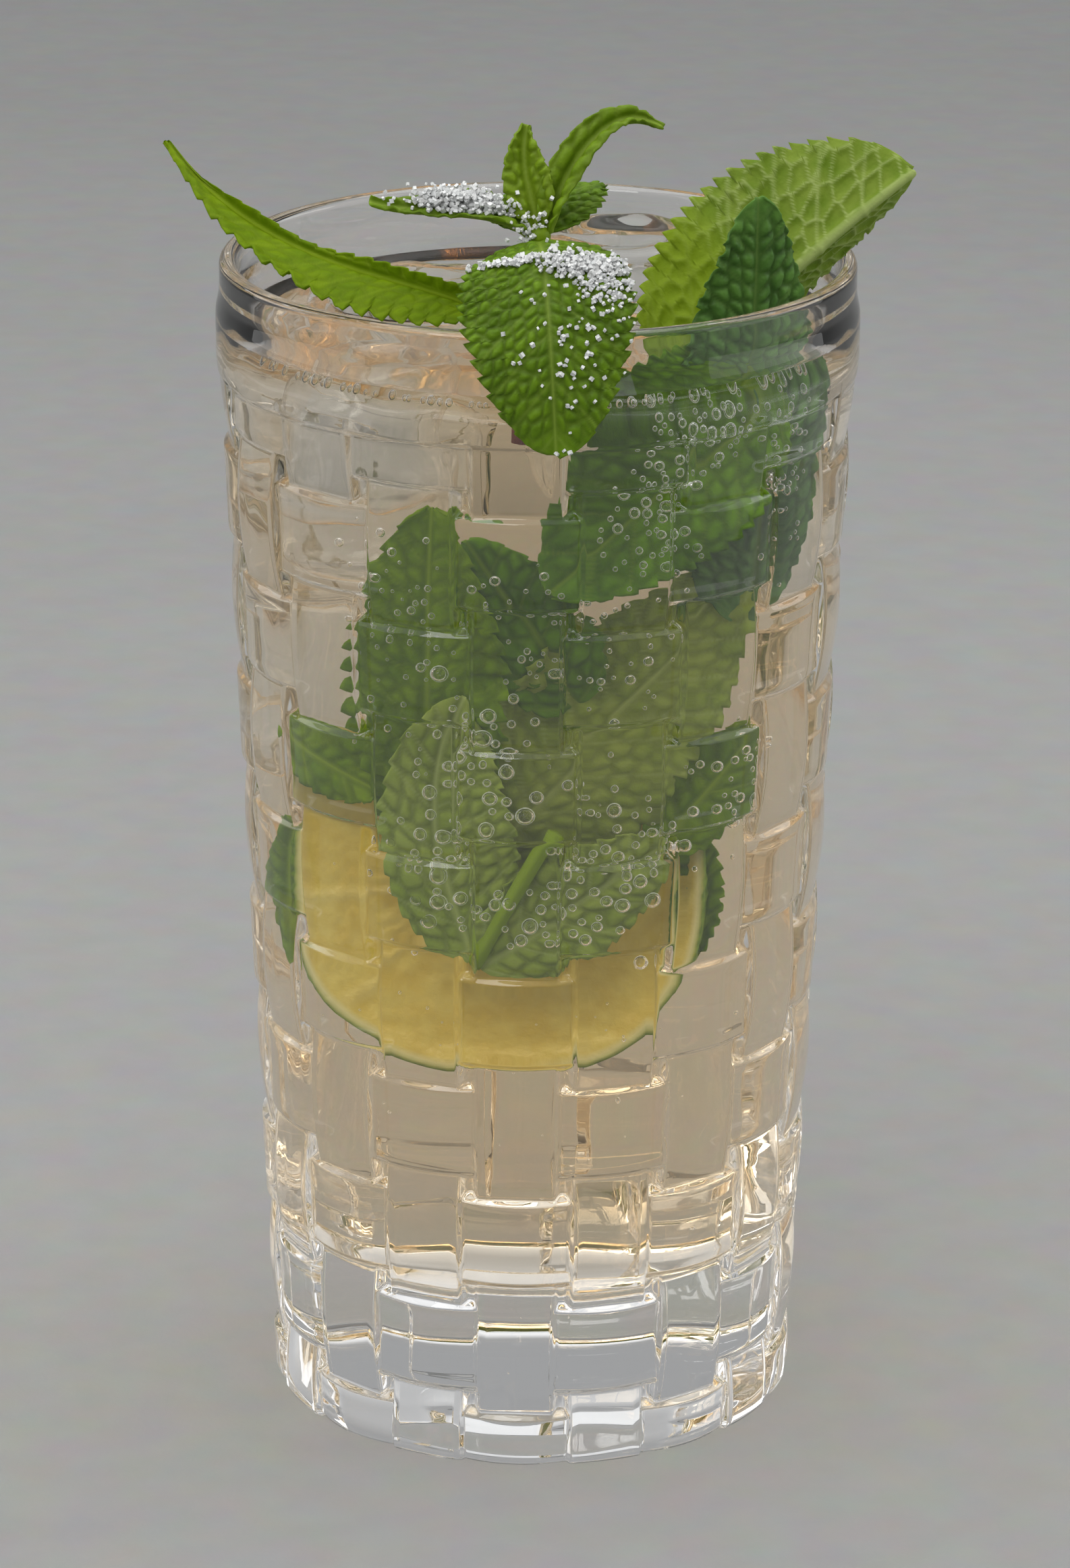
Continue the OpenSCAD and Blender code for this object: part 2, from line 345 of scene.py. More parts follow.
# ---- the glass ----

def arch(x):
    return np.cos(np.pi / 2 * np.minimum(1, np.abs(x)))


def off(x, step):
    return x - step * np.round(x / step)


def weave_r(turn, z):
    """Radius of the woven wall: strands over and under one another, with sloped edges."""
    j = np.round(turn / COLUMN)
    i = np.round((z - FIRST_ROW) / ROW_PITCH)
    up_phase = z - FIRST_ROW - ROW_PITCH * ((j + 1) % 2)
    upright = arch(off(up_phase, 2 * ROW_PITCH) / ROW_PITCH)
    level = arch(off(turn - COLUMN * (i % 2), 2 * COLUMN) / COLUMN)
    across = np.radians(np.abs(turn - j * COLUMN)) * RIM_R
    half_upright = math.radians(COLUMN * UPRIGHT_SHARE / 2) * RIM_R
    along = np.abs(z - FIRST_ROW - i * ROW_PITCH)
    upright = upright * smooth((half_upright + EDGE / 2 - across) / EDGE)
    level = level * smooth((LEVEL_H / 2 + EDGE / 2 - along) / EDGE)
    blend = np.sqrt((upright - level) ** 2 + CROSSING_SOFT ** 2) - CROSSING_SOFT
    over = (upright + level + blend) / 2
    crest = CREST_BASE_R + (CREST_TOP_R - CREST_BASE_R) * z / WEAVE_TOP
    return crest - RISE * (1 - over)


def spread(step, half_strand, finest, count):
    """Places over one step, from edge to edge, crowded at both edges of a strand."""
    edge = half_strand + np.linspace(-1, 1, count) * finest * (count - 1) / 2
    edge = edge[edge < step / 2 - finest / 2]
    inner = np.linspace(0, edge[0], 6)[1:-1]
    half = np.concatenate([inner, edge])
    return np.concatenate([-half[::-1], [0], half, [step / 2]])


def profile_rings(profile, turns):
    """Rings of points from a list of radius and height pairs."""
    profile = np.asarray(profile)
    return ring_point(turns[None, :], profile[:, :1], profile[:, 1:])


def well_profile(bottom_gap=0.0):
    """The inside of the glass from the middle of its floor to the end of its rounded corner."""
    flat = [(r, FOOT_H - bottom_gap) for r in np.linspace(1.5, WELL_R - WELL_ROUND, 8)]
    corner = []
    for a in np.radians(np.arange(-80, 1, 10)):
        corner.append((WELL_R - WELL_ROUND + (WELL_ROUND + bottom_gap) * math.cos(a),
                       FOOT_H + WELL_ROUND + (WELL_ROUND + bottom_gap) * math.sin(a)))
    return flat + corner


def glass_piece():
    """The pressed glass as one closed lathe, its woven wall turned as in the frame. dry marks
    the part of its surface that the drink doesn't touch."""
    column = spread(COLUMN, COLUMN * UPRIGHT_SHARE / 2, finest=0.45, count=6)
    row = spread(ROW_PITCH, LEVEL_H / 2, finest=0.32, count=6)
    turns = np.concatenate([j * COLUMN + column for j in range(STRANDS)])
    rows = np.concatenate([FIRST_ROW + i * ROW_PITCH + row for i in range(ROWS)])
    rows = rows[(rows > FOOT_BEVEL + 0.2) & (rows < WEAVE_TOP - 1.2)]
    under = profile_rings([(r, PUNT_H * (1 - (r / PUNT_R) ** 2))
                           for r in np.linspace(1.5, PUNT_R - 0.5, 8)], turns + WEAVE_TURN)
    foot = []
    for step in (0.9, 0.35, 0):
        z = FOOT_BEVEL * (1 - math.sqrt(1 - (1 - step) ** 2))
        foot.append(ring_point(turns + WEAVE_TURN, weave_r(turns, 0.0) - FOOT_BEVEL * step, z))
    wall = [ring_point(turns + WEAVE_TURN, weave_r(turns, z), z) for z in rows]
    ledge = []
    for share in (0.0, 0.25, 0.5, 0.75, 1.0):
        z = WEAVE_TOP - 1 + share
        r = mix(weave_r(turns, min(z, WEAVE_TOP)), COLLAR_R - 0.1, smooth(share))
        ledge.append(ring_point(turns + WEAVE_TURN, r, z))
    swell_z = GLASS_H - 6
    lip = LIP_WALL / 2
    outside = [(COLLAR_R, WEAVE_TOP + 1.5), (COLLAR_R, mix(WEAVE_TOP, swell_z, 0.6)),
               (COLLAR_R, swell_z - 1), (COLLAR_R - 0.12, swell_z), (RIM_R + 0.15, swell_z + 1),
               (RIM_R + 0.02, swell_z + 2), (RIM_R, GLASS_H - 2)]
    for a in np.radians(np.arange(0, 181, 15)):
        outside.append((RIM_R - lip + lip * math.cos(a), GLASS_H - lip + lip * math.sin(a)))
    inside = [(wall_r(z), z) for z in (GLASS_H - 4, DRINK_Z + 2, DRINK_Z + 0.6)]
    wet = [(wall_r(z), z) for z in np.linspace(DRINK_Z, FOOT_H + WELL_ROUND, 20)]
    wet += well_profile()[::-1][1:]
    rings = np.concatenate([under, np.stack(foot), np.stack(wall), np.stack(ledge),
                            profile_rings(outside + inside + wet, turns + WEAVE_TURN)])
    dry = np.ones(len(rings))
    dry[-len(wet):] = 0
    dry = np.append(np.repeat(dry, len(turns)), [1, 0])
    return make_mesh("pressed_glass", *lathe(rings), {"dry": dry})


# ---- ice ----

def ice_parts(centre, radius, height, dish, seed, lump=0.35):
    """A round piece of ice, its top at centre, with a dished top and melted, uneven sides."""
    edge = 3.0
    low = [(radius - edge + edge * math.cos(a), -height + edge + edge * math.sin(a))
           for a in np.radians(np.arange(-90, 1, 15))]
    lip = edge / 2
    high = [(radius - lip + lip * math.cos(a), -lip + lip * math.sin(a))
            for a in np.radians(np.arange(0, 91, 15))]
    side = [(radius, z) for z in np.linspace(-height + edge, -lip, 14)[1:-1]]
    top = [(radius * 0.7 * s, -dish * (1 - s * s)) for s in (1.0, 0.85, 0.6, 0.35, 0.1)]
    bottom = [(r, -height) for r in np.linspace(0.8, radius - edge, 5)[:-1]]
    rings = profile_rings(bottom + low + side + high + top, np.arange(0, 360, 5.0))
    rings = rings + np.asarray(centre)
    lumps = waves(rings[..., 0], rings[..., 1], rings[..., 2], seed, 11)
    axis = np.array([centre[0], centre[1], 0])
    outward = unit((rings - axis) * [1, 1, 0])
    rings = rings + outward * (lumps * lump)[..., None]
    rings[..., 2] += 0.3 * lumps * lump
    return lathe(rings)


def scaled(points, share):
    middle = (points.min(0) + points.max(0)) / 2
    return middle + (points - middle) * share


# ---- the drink ----

def drink_piece(ice, sunk):
    """The drink, reaching just into the glass, with a meniscus, cut round all the ice."""
    reach = 0.15
    turns = np.arange(0, 360, 1.5)
    side = well_profile(reach)
    rim_z = DRINK_Z + MENISCUS_H
    side += [(wall_r(z) + reach, z) for z in np.linspace(FOOT_H + WELL_ROUND + 4, rim_z, 24)]
    radius = wall_r(DRINK_Z)
    inner = np.concatenate([radius - np.geomspace(0.1, 4, 12),
                            np.linspace(radius - 5, 1, 34)])
    top = profile_rings([(r, DRINK_Z) for r in inner], turns)
    x, y = top[..., 0], top[..., 1]
    height = MENISCUS_H * np.exp(-(radius - np.hypot(x, y)) / MENISCUS_W)
    for points, _ in ice:
        middle = (points.min(0) + points.max(0)) / 2
        ice_r = (points.max(0) - points.min(0))[:2].mean() / 2
        gap = np.maximum(np.hypot(x - middle[0], y - middle[1]) - ice_r, 0)
        height += ICE_MENISCUS_H * np.exp(-gap)
    top[..., 2] += height + 0.09 * waves(x, y, x * 0, 5, 14)
    rings = np.concatenate([profile_rings(side, turns), top])
    piece = make_mesh("mojito", *lathe(rings))
    for points, faces in ice + sunk:
        cutter = make_mesh("cutter", scaled(points, 0.992), faces)
        cut = piece.modifiers.new("cut", "BOOLEAN")
        cut.operation = "DIFFERENCE"
        cut.solver = "EXACT"
        cut.object = cutter
        settle(piece)
        bpy.data.objects.remove(cutter)
    piece.data.polygons.foreach_set("use_smooth", [True] * len(piece.data.polygons))
    return piece


def settle(piece):
    """Apply the modifiers of a piece to its mesh."""
    bpy.context.view_layer.update()
    graph = bpy.context.evaluated_depsgraph_get()
    mesh = bpy.data.meshes.new_from_object(piece.evaluated_get(graph))
    piece.modifiers.clear()
    piece.data = mesh


# ---- leaves ----

FULL = (0.9, 0.55)
SLIM = (0.75, 0.8)
BLUNT = (1.05, 0.45)
STALK_W = 1.2


def bezier(path, t):
    p = np.asarray(path, dtype=float)
    t = np.asarray(t)[..., None]
    u = 1 - t
    return u ** 3 * p[0] + 3 * t * u * u * p[1] + 3 * t * t * u * p[2] + t ** 3 * p[3]


def bezier_way(path, t):
    p = np.asarray(path, dtype=float)
    t = np.asarray(t)[..., None]
    u = 1 - t
    return unit(u * u * (p[1] - p[0]) + 2 * t * u * (p[2] - p[1]) + t * t * (p[3] - p[2]))


def leaf_sheet(path, widths, facing, fold=(0, 0), form=FULL, teeth=15, wave=0.5, seed=1,
               long=120, wide=56, bite=0.1):
    """The middle surface of a leaf on a grid, its normals, each point's place across and along
    in millimetres, and its share of the length."""
    t = np.linspace(0, 1, long + 1)[:, None] * np.ones((1, wide + 1))
    s = np.linspace(-1, 1, wide + 1)[None, :] * np.ones((long + 1, 1))
    rib = bezier(path, t)
    way = bezier_way(path, t)
    raw = mix(np.asarray(facing[0], float), np.asarray(facing[1], float), t[..., None])
    normal = unit(raw - way * (way * raw).sum(-1, keepdims=True))
    side = np.cross(way, normal)
    length = np.linalg.norm(np.diff(rib[:, 0], axis=0), axis=1).sum()
    saw = (t * teeth) % 1.0
    tooth = 1 - bite * saw ** 1.5 * smooth(t * 12) * smooth((1 - t) * 12)
    width = np.where(s < 0, widths[0], widths[1])
    full = width / 2 * np.maximum(np.sin(np.pi * t ** form[0]), 0) ** form[1] * tooth
    reach = np.maximum(STALK_W / 2, full) * np.abs(s)
    angle = np.radians(np.where(s < 0, fold[0], fold[1]))
    sheet = (rib + side * (np.sign(s) * reach * np.cos(angle))[..., None]
             + normal * (reach * np.sin(angle))[..., None])
    ripple = waves(s * 9, t * length, s * 0, seed, 13) * np.abs(s) ** 1.5
    sheet = sheet + normal * (wave * ripple * smooth(t * 6))[..., None]
    along = np.gradient(sheet, axis=0)
    over = np.gradient(sheet, axis=1)
    true_normal = unit(np.cross(along, over))
    true_normal = true_normal * np.sign((true_normal * normal).sum(-1, keepdims=True) + 1e-9)
    return sheet, true_normal, np.sign(s) * reach, t * length, t


def leaf_parts(path, widths, facing, fold=(0, 0), form=FULL, teeth=15, wave=0.5, seed=1,
               long=120, wide=56, thick=0.34, quilt=0.42, cell=2.3, young=0.0,
               underside=False, bite=0.1, net=0.25, rows=2.3, green_base=0.0):
    """A closed leaf, quilted between its veins. A ridge on one side is a groove on the other.
    underside turns the side with the raised veins to where the leaf faces. net is how clear the
    small veins are, and rows the cells from one side vein to the next. green_base makes the
    leaf's first half a fresher green."""
    sheet, normal, x, y, t = leaf_sheet(path, widths, facing, fold, form, teeth, wave, seed,
                                        long, wide, bite)
    if underside:
        normal = -normal
    lateral = (y - 0.85 * np.abs(x)) / (cell * rows)
    main = np.abs(lateral - np.round(lateral)) * cell * rows
    border = jittered_cells(y / cell - np.abs(x) * 0.5 / cell, x / cell + 20, seed) * cell
    puff = smooth(border / (0.55 * cell)) * mix(0.45, 1, smooth(main / 0.9))
    puff = puff * smooth(np.abs(x) / 1.1)
    fade = smooth(t * 8) * smooth((1.02 - t) * 8)
    vein = np.maximum.reduce([np.exp(-(x / mix(0.5, 0.22, t)) ** 2),
                              0.55 * np.exp(-(main / 0.22) ** 2),
                              net * np.exp(-(border / 0.2) ** 2)])
    relief = quilt * (puff - 0.5) * fade - 0.3 * np.exp(-(x / 0.55) ** 2)
    edge = np.ones_like(x)
    edge[:, 0] = edge[:, -1] = 0.35
    edge[0] = edge[-1] = 0.5
    top = sheet + normal * (relief + thick / 2 * edge)[..., None]
    rib = 0.5 * np.exp(-(x / 0.6) ** 2) * mix(1, 0.2, t) + 0.12 * np.exp(-(main / 0.3) ** 2)
    low = sheet + normal * (relief - (thick / 2 + rib) * edge)[..., None]
    count = x.size
    faces = grid_faces(*x.shape)
    index = np.arange(count).reshape(x.shape)
    rim = np.concatenate([index[0], index[1:, -1], index[-1, -2::-1], index[-2:0:-1, 0]])
    after = np.roll(rim, -1)
    band = np.stack([rim, rim + count, after + count, after], axis=-1)
    cross = np.cross(top[1, 0] - top[0, 0], top[0, 1] - top[0, 0]) @ normal[0, 0]
    faces = np.concatenate([faces, faces[:, ::-1] + count, band])
    if cross > 0:
        faces = faces[:, ::-1]
    # Painted shade mask: 1 in the sunken hollows between the puffed cells, and 0.3 as strong on
    # the leaf's lower side.
    hollow = (1 - puff) ** 1.5 * fade
    zero = np.zeros(count)
    tone = np.clip(young + green_base * (1 - smooth((t - 0.38) / 0.2)), 0, 1).ravel()
    values = {
        "vein": np.concatenate([(0.75 * vein).ravel(), vein.ravel()]),
        "hollow": np.concatenate([hollow.ravel(), 0.3 * hollow.ravel()]),
        "young": np.concatenate([tone, tone]),
        "cut": np.concatenate([zero, zero]),
    }
    return np.concatenate([top.reshape(-1, 3), low.reshape(-1, 3)]), faces.tolist(), values


def tube_parts(path, radii, young=0.5, cut=0.0, rings=24, sides=14, square=0.12):
    """A stem with a slightly square section. cut browns the first tenth of it."""
    t = np.linspace(0, 1, rings)
    way = bezier_way(path, t)
    across = unit(np.cross(way, np.array([0.1, 1, 0.02])))
    other = np.cross(way, across)
    a = np.arange(sides) * 2 * np.pi / sides
    r = mix(radii[0], radii[1], t)[:, None] * (1 + square * np.cos(4 * a))[None, :]
    centre = bezier(path, t)[:, None]
    ring = (centre + across[:, None] * (r * np.cos(a))[..., None]
            + other[:, None] * (r * np.sin(a))[..., None])
    points, faces = lathe(ring)
    brown = np.append(np.repeat(cut * smooth((0.10 - t) / 0.05), sides), [cut, 0])
    blank = np.zeros(len(points))
    values = {"vein": blank, "hollow": blank, "young": blank + young, "cut": brown}
    return points, faces, values


def ball_parts(centre, radius, young=0.5):
    """The knot where the leaves of the sprig meet."""
    turns = np.arange(0, 360, 30.0)
    profile = [(radius * math.sin(a), -radius * math.cos(a))
               for a in np.radians(np.arange(15, 180, 15))]
    points, faces = lathe(profile_rings(profile, turns))
    blank = np.zeros(len(points))
    return points + centre, faces, {"vein": blank, "hollow": blank, "young": blank + young,
                                    "cut": blank}


KNOT = at_rim(0, -9, 9.8)
KNOT_R = 1.5
KNOT_IN = 0.8

FRONT_LEAF = dict(
    path=[KNOT + [0, -KNOT_IN, -0.3], at_rim(1, -2.2, 11), at_rim(2, 4.6, 2), at_rim(3, 3.4, -14)],
    widths=(22, 22), facing=([0, -0.5, 1], [0, -1, 0.3]), fold=(-10, -10), form=(0.98, 0.46),
    teeth=17, wave=0.45, seed=3, long=190, wide=96, cell=1.45, quilt=0.36, rows=3.2)
SUGARED_LEAF = dict(
    path=[KNOT + [-KNOT_IN, 0, 0.3], at_rim(-8, -8.5, 14.2), at_rim(-24, -7, 12),
          at_rim(-32, -2, 14.2)],
    widths=(6, 6), facing=([0, -0.3, 1], [0, -0.6, 1]), fold=(25, 25), form=SLIM, teeth=9,
    seed=5, long=70, wide=26, wave=0.3, young=0.25)


def sprig_parts():
    """The sprig over the lip: five leaves that meet in a knot, and the stem."""
    back = leaf_parts([KNOT + [0, KNOT_IN, 0], at_rim(0, -11.5, 14), at_rim(0, -16, 17),
                       at_rim(-2, -25, 10)], (17, 17), ([0, -0.3, 1], [0, 0.3, 1]), (-20, 4),
                      seed=4, long=110, wide=60, cell=1.6, quilt=0.36, rows=3)
    curled = leaf_parts([KNOT + [KNOT_IN, 0, 0.3], at_rim(4, -9.5, 16), at_rim(15, -10.5, 27.5),
                         at_rim(28, -8, 22.5)], (5.5, 5.5), ([-0.6, -1, 0.4], [0.2, -0.6, 1]),
                        (35, 35), SLIM, teeth=12, seed=6, long=70, wide=26, wave=0.3, young=0.3)
    young = leaf_parts([KNOT + [0, 0, KNOT_IN], at_rim(-2, -10, 15), at_rim(-5, -11, 18.5),
                        at_rim(-3, -12.5, 22.5)], (6.5, 6.5), ([0, -1, 0.1], [0, -1, 0.2]),
                       (20, 20), SLIM, teeth=8, seed=7, long=60, wide=28, cell=1.5, young=0.45)
    stem = tube_parts([at_drink(-2.6, -5.4, -4.6), at_rim(-2.4, -5.6, -4), at_rim(0, -7.5, 4),
                       KNOT], (1.25, 0.9), cut=1.0)
    return join_parts([leaf_parts(**FRONT_LEAF), back, leaf_parts(**SUGARED_LEAF), curled, young,
                       stem, ball_parts(KNOT, KNOT_R)])


def standing_leaves():
    """The three single leaves of the frame."""
    left = leaf_parts([at_rim(-10, -10, -0.6), at_rim(-27, -8.8, 4.6), at_rim(-52, 1.2, 2.7),
                       at_rim(-77.5, 6.7, 16.3)], (17, 3.4), ([0.2, -0.5, 1], [0.7, -0.7, 0.6]),
                      (8, 50), SLIM, teeth=19, seed=11, long=220, wide=70, wave=0.5, cell=2.3,
                      quilt=0.22, young=0.3, bite=0.2, rows=2.2)
    right = leaf_parts([at_drink(40, -13.5, -3), at_drink(57, -12, 4), at_rim(74, -4.3, 4),
                        at_rim(85, 6.7, 11.7)], (31, 21.7), ([0, -0.9, 0.4], [0, -0.9, 0.4]),
                       (-5, -78), BLUNT, teeth=24, seed=12, long=190, wide=90, wave=0.35,
                       cell=2.6, quilt=0.34, underside=True, net=0.75, rows=2.6, green_base=0.85)
    dark = leaf_parts([at_drink(50, -9.6, -32), at_drink(52, -8.1, -16), at_rim(54, -6.2, -5),
                       at_rim(53, -6.4, 12)], (20, 20), ([0.5, -0.85, 0.1], [0.5, -0.85, 0.2]),
                      (-8, -8), teeth=20, seed=13, long=170, wide=80, wave=0.4, cell=2.0,
                      quilt=0.55)
    return left, right, dark


OUTWARD_FRONT = ([0, -1, 0.1], [0, -1, 0.1])


def sunk_leaves():
    """Leaves in the drink, by how they look: dark, bright and pale."""
    dark = [
        leaf_parts([in_drink(56, 4.5, 2), in_drink(44, 3.6, 6), in_drink(24, 3.0, 13),
                    in_drink(2, 2.8, 24)], (22, 26), ([0.6, -0.8, 0.3], [0.1, -1, 0.3]),
                   seed=21, teeth=18, wave=0.6),
        leaf_parts([in_drink(12, 9, 40), in_drink(4, 7, 34), in_drink(-6, 6, 26),
                    in_drink(-14, 5, 18)], (15, 15), OUTWARD_FRONT, (10, 10), seed=22, teeth=12),
    ]
    bright = [
        leaf_parts([in_drink(-27, 6, 58), in_drink(-26, 5, 44), in_drink(-24, 4.2, 30),
                    in_drink(-22, 4, 14.5)], (21, 22), ([-0.4, -0.9, 0.2], [-0.3, -0.9, 0.2]),
                   (6, 6), seed=23, teeth=16, wave=0.7, bite=0.15),
        leaf_parts([in_drink(30, 6, 60), in_drink(38, 5.4, 56), in_drink(47, 5, 51),
                    in_drink(56, 4.5, 44)], (13, 12), ([0.5, -0.8, 0.4], [0.5, -0.7, 0.5]),
                   seed=24, teeth=10, long=80, wide=36, bite=0.15),
        leaf_parts([in_drink(38, 7, 76), in_drink(43, 6.6, 69), in_drink(43, 6.6, 62),
                    in_drink(39, 6.6, 54)], (8, 8), ([0.4, -0.8, 0.3], [0.4, -0.8, 0.3]),
                   (20, 20), SLIM, seed=25, teeth=14, long=80, wide=30, bite=0.18),
        leaf_parts([in_drink(-64, 2.2, 80), in_drink(-70, 2.4, 73), in_drink(-70, 2.6, 66),
                    in_drink(-66, 3, 59)], (7, 6), ([-0.8, -0.5, 0.3], [-0.8, -0.5, 0.3]),
                   form=SLIM, seed=26, teeth=9, long=60, wide=26, bite=0.15),
        leaf_parts([in_drink(-66, 3, 47), in_drink(-58, 3, 49), in_drink(-48, 4, 51),
                    in_drink(-38, 5, 53)], (9, 9), ([-0.6, -0.7, 0.3], [-0.5, -0.8, 0.3]),
                   seed=30, teeth=9, long=60, wide=26, bite=0.15),
    ]
    pale = [
        leaf_parts([in_drink(-14, 7, 62), in_drink(4, 8.4, 50), in_drink(26, 8, 38),
                    in_drink(50, 6, 25)], (27, 25), ([0.1, -1, 0], [0.5, -0.85, 0.1]), (5, 5),
                   seed=27, teeth=19, wave=0.7),
        leaf_parts([in_drink(-14, 2.6, 73), in_drink(-22, 2.4, 62), in_drink(-26, 2.6, 50),
                    in_drink(-16, 3.4, 38)], (14, 20), ([-0.2, -1, 0], [-0.2, -1, 0.1]),
                   (4, 4), seed=28, teeth=14, wave=0.5),
        leaf_parts([in_drink(-12, 2.6, 73), in_drink(2, 2.4, 68), in_drink(16, 2.4, 63),
                    in_drink(30, 3, 57)], (16, 14), ([0.1, -1, 0], [0.4, -0.9, 0]), (4, 4),
                   seed=29, teeth=13, wave=0.5),
        tube_parts([in_drink(-13, 2.0, 73), in_drink(-9, 1.7, 68), in_drink(-3, 1.7, 62),
                    in_drink(4, 1.9, 55)], (0.7, 0.9), young=0.9),
    ]
    return dark, bright, pale


# ---- lime ----

LIME_C = np.array([-4.5, -18.0, 75.0])
LIME_R = 24.0


def lime_parts():
    """Half a lime with its cut face to the front: flesh in segments, and a domed rind behind."""
    turns = np.arange(0, 360, 2.0)
    a = np.radians(turns)
    squarish = (np.abs(np.sin(a)) ** 2.5 + np.abs(np.cos(a)) ** 2.5) ** (-1 / 2.5)
    side, down = squarish * np.sin(a), -squarish * np.cos(a)
    flesh, shade = [], []
    for share in np.linspace(0.04, 0.965, 34):
        segment = np.abs(((turns + 9) / 36) % 1 - 0.5) * 2
        wall = smooth((segment - 0.9) / 0.1) * smooth(share * 6)
        depth = 0.5 * (1 - wall) * smooth((0.96 - share) / 0.1) * smooth(share / 0.15)
        streak = 0.12 * np.sin(a * 41 + 4 * np.sin(share * 23) + 3 * np.sin(a * 7))
        x, z = LIME_R * share * side, LIME_R * share * down
        flesh.append(np.stack([x, depth + streak * smooth(share * 4) * (1 - wall), z], -1))
        pith = np.maximum(wall * 0.5, 1 - smooth(share / 0.1))
        shade.append(np.maximum(pith, smooth((share - 0.945) / 0.02)))
    face = np.stack(flesh)
    back = []
    for share, depth in [(1.0, 0.0)] + [(math.cos(b), 15 * math.sin(b))
                                        for b in np.radians(np.arange(6, 88, 6))]:
        x, z = LIME_R * share * side, LIME_R * share * down
        dimple = 0.12 * waves(x, z, x * 0 + depth, 31, 2.2)
        back.append(np.stack([x * (1 + dimple / LIME_R), 0 * a + depth + dimple * 0.3, z], -1))
    lip = np.stack([LIME_R * 0.98 * side, 0 * a + 0.05, LIME_R * 0.98 * down], -1)
    rings = np.concatenate([face, [lip], np.stack(back)])
    points, faces = lathe(rings)
    pith = np.concatenate([np.concatenate(shade), np.full(len(turns), 1.0),
                           np.zeros(len(turns) * len(back)), [1.0, 0.0]])
    rind = np.concatenate([np.zeros(len(turns) * len(flesh)), np.full(len(turns), 0.3),
                           np.ones(len(turns) * len(back)), [0.0, 1.0]])
    tilt = Matrix.Rotation(math.radians(-8), 3, "Z") @ Matrix.Rotation(math.radians(-6), 3, "X")
    return points @ np.array(tilt).T + LIME_C, faces, {"pith": pith, "rind": rind}


def lime_look():
    look = Look("lime")
    juicy = look.colours(look.noise(330, 3), [(0.35, colour_of(240, 208, 84)),
                                              (0.65, colour_of(252, 226, 112))])
    pithy = look.blend(look.attribute("pith"), juicy, (*colour_of(252, 236, 160), 1))
    green = look.colours(look.noise(700, 3), [(0.4, colour_of(110, 140, 20)),
                                              (0.65, colour_of(146, 172, 44))])
    colour = look.blend(look.attribute("rind"), pithy, green)
    normal = look.bump(look.noise(1200, 3), 0.0002, 0.5)
    body = look.add("BsdfPrincipled", Base_Color=colour, Roughness=0.35, Normal=normal)
    glow = look.add("BsdfTranslucent", Color=colour, Normal=normal)
    both = look.add("MixShader", Fac=0.3)
    look.put(both.inputs[1], body.outputs[0])
    look.put(both.inputs[2], glow.outputs[0])
    look.surface(both.outputs[0])
    return look


# ---- sugar ----

def crystal_points(rng, size):
    """The eight corners of a worn sugar crystal."""
    box = np.array([[x, y, z] for x in (-1, 1) for y in (-1, 1) for z in (-1, 1)], float)
    box = box * rng.uniform(0.6, 1.0, 3) * rng.uniform(0.8, 1.0, (8, 1)) * size / 2
    turn = np.linalg.qr(rng.normal(size=(3, 3)))[0]
    return box @ turn


CRYSTAL_FACES = [(0, 1, 3, 2), (4, 6, 7, 5), (0, 4, 5, 1),
                 (2, 3, 7, 6), (0, 2, 6, 4), (1, 5, 7, 3)]


def sugar_spots(sheet, rng, count, along, across, heap=0.0):
    """Places on a leaf's upper side, by the spread of their shares along and across it."""
    grid, normal = sheet[:2]
    rows, cols = grid.shape[:2]
    t = np.clip(rng.normal(*along, count), 0.01, 0.99)
    s = np.clip(rng.normal(*across, count), -0.97, 0.97)
    i = (t * (rows - 1)).astype(int)
    j = ((s + 1) / 2 * (cols - 1)).astype(int)
    lift = 0.35 + heap * rng.random(count) ** 1.5
    return grid[i, j] + normal[i, j] * lift[:, None]


def sheet_of(leaf):
    """The middle surface of a leaf that is given as the values of leaf_parts."""
    keys = ("path", "widths", "facing", "fold", "form", "teeth", "wave", "seed", "long", "wide",
            "bite")
    return leaf_sheet(**{k: leaf[k] for k in keys if k in leaf})


def sugar_piece():
    rng = np.random.default_rng(44)
    front, narrow = sheet_of(FRONT_LEAF), sheet_of(SUGARED_LEAF)
    spots = np.concatenate([
        sugar_spots(narrow, rng, 900, (0.50, 0.13), (0.0, 0.42), 2.2),
        sugar_spots(front, rng, 120, (0.275, 0.012), (0.35, 0.33), 0.4),
        sugar_spots(front, rng, 360, (0.32, 0.040), (-0.45, 0.26), 0.8),
        sugar_spots(front, rng, 190, (0.41, 0.07), (-0.68, 0.16), 0.4),
        sugar_spots(front, rng, 90, (0.62, 0.18), (-0.3, 0.4)),
        KNOT + rng.normal(size=(70, 3)) * [1.2, 0.8, 1.8] + [-0.8, -1.2, 0.6],
    ])
    points, faces = [], []
    for spot in spots:
        start = 8 * len(points)
        points.append(crystal_points(rng, rng.uniform(0.32, 0.68)) + spot)
        faces += [[i + start for i in f] for f in CRYSTAL_FACES]
    return make_mesh("sugar_crystals", np.concatenate(points), faces, smoothed=False)


def sugar_look():
    look = Look("sugar")
    tone = look.colours(look.noise(1500, 2), [(0.3, (0.80, 0.82, 0.82)),
                                              (0.7, (0.96, 0.96, 0.95))])
    shader = look.add("BsdfPrincipled", Base_Color=tone, Roughness=0.22, IOR=1.5,
                      Transmission_Weight=0.3)
    look.surface(shader.outputs[0])
    return look


# ---- bubbles ----

def sphere_mesh(level):
    """Points and faces of a ball of radius 1, finer at a higher level."""
    turns = np.arange(0, 360, 360 / (6 + 3 * level))
    steps = 3 + 2 * level
    slopes = np.pi * (np.arange(steps) + 0.7) / (steps + 0.4)
    profile = [(math.sin(a), -math.cos(a)) for a in slopes]
    return lathe(profile_rings(profile, turns))


